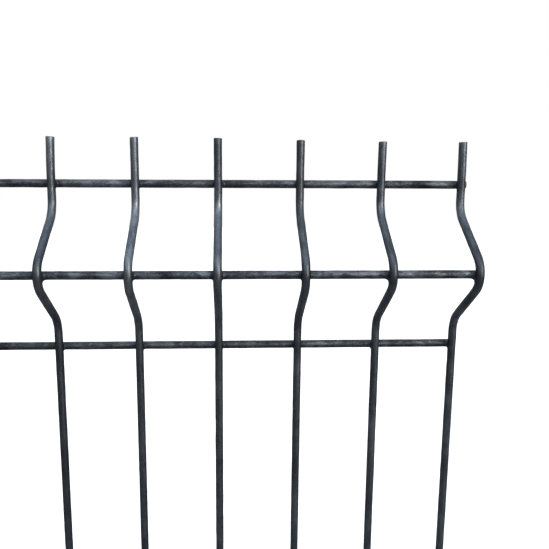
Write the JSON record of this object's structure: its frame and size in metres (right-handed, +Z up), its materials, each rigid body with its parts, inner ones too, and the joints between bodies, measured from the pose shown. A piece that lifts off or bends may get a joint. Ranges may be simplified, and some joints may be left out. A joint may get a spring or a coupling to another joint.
{
  "type": "fence panel",
  "caption": "Rigid galvanised fence panel of welded wire mesh, stiffened by V-folds across its width, with free upright ends along the top; post clips hold its side wires.",
  "frame": {"origin": "middle of the panel's width and depth, at the level of the lower ends of the uprights", "axes": "+X along the panel, to the right seen from the side the folds point to; +Y through the panel, to the back; +Z up along the uprights"},
  "size_m": [2.0088, 0.0444, 1.028],
  "materials": {
    "upright_wire": "hot-dip galvanised steel wire, satin, dark blue-grey with a soft mottle",
    "horizontal_wire": "hot-dip galvanised steel wire, satin, dark blue-grey with pale zinc flecks",
    "weld": "weld metal under zinc, a little darker and duller than the wire"
  },
  "bodies": {
    "root": {"vertical_wire_01": "upright_wire", "vertical_wire_02": "upright_wire", "vertical_wire_03": "upright_wire", "vertical_wire_04": "upright_wire", "vertical_wire_05": "upright_wire", "vertical_wire_06": "upright_wire", "vertical_wire_07": "upright_wire", "vertical_wire_08": "upright_wire", "vertical_wire_09": "upright_wire", "vertical_wire_10": "upright_wire", "vertical_wire_11": "upright_wire", "vertical_wire_12": "upright_wire", "vertical_wire_13": "upright_wire", "vertical_wire_14": "upright_wire", "vertical_wire_15": "upright_wire", "vertical_wire_16": "upright_wire", "vertical_wire_17": "upright_wire", "vertical_wire_18": "upright_wire", "vertical_wire_19": "upright_wire", "vertical_wire_20": "upright_wire", "vertical_wire_21": "upright_wire", "vertical_wire_22": "upright_wire", "vertical_wire_23": "upright_wire", "vertical_wire_24": "upright_wire", "vertical_wire_25": "upright_wire", "vertical_wire_26": "upright_wire", "vertical_wire_27": "upright_wire", "vertical_wire_28": "upright_wire", "vertical_wire_29": "upright_wire", "vertical_wire_30": "upright_wire", "vertical_wire_31": "upright_wire", "vertical_wire_32": "upright_wire", "vertical_wire_33": "upright_wire", "vertical_wire_34": "upright_wire", "vertical_wire_35": "upright_wire", "vertical_wire_36": "upright_wire", "vertical_wire_37": "upright_wire", "vertical_wire_38": "upright_wire", "vertical_wire_39": "upright_wire", "vertical_wire_40": "upright_wire", "vertical_wire_41": "upright_wire", "top_wire": "horizontal_wire", "upper_fold_apex_wire": "horizontal_wire", "upper_fold_lower_wire": "horizontal_wire", "upper_bay_wire": "horizontal_wire", "middle_bay_wire": "horizontal_wire", "lower_fold_upper_wire": "horizontal_wire", "lower_fold_apex_wire": "horizontal_wire", "lower_fold_lower_wire": "horizontal_wire", "bottom_wire": "horizontal_wire", "welds_top_wire": "weld", "welds_upper_fold_apex_wire": "weld", "welds_upper_fold_lower_wire": "weld", "welds_upper_bay_wire": "weld", "welds_middle_bay_wire": "weld", "welds_lower_fold_upper_wire": "weld", "welds_lower_fold_apex_wire": "weld", "welds_lower_fold_lower_wire": "weld", "welds_bottom_wire": "weld"}
  },
  "joints": []
}
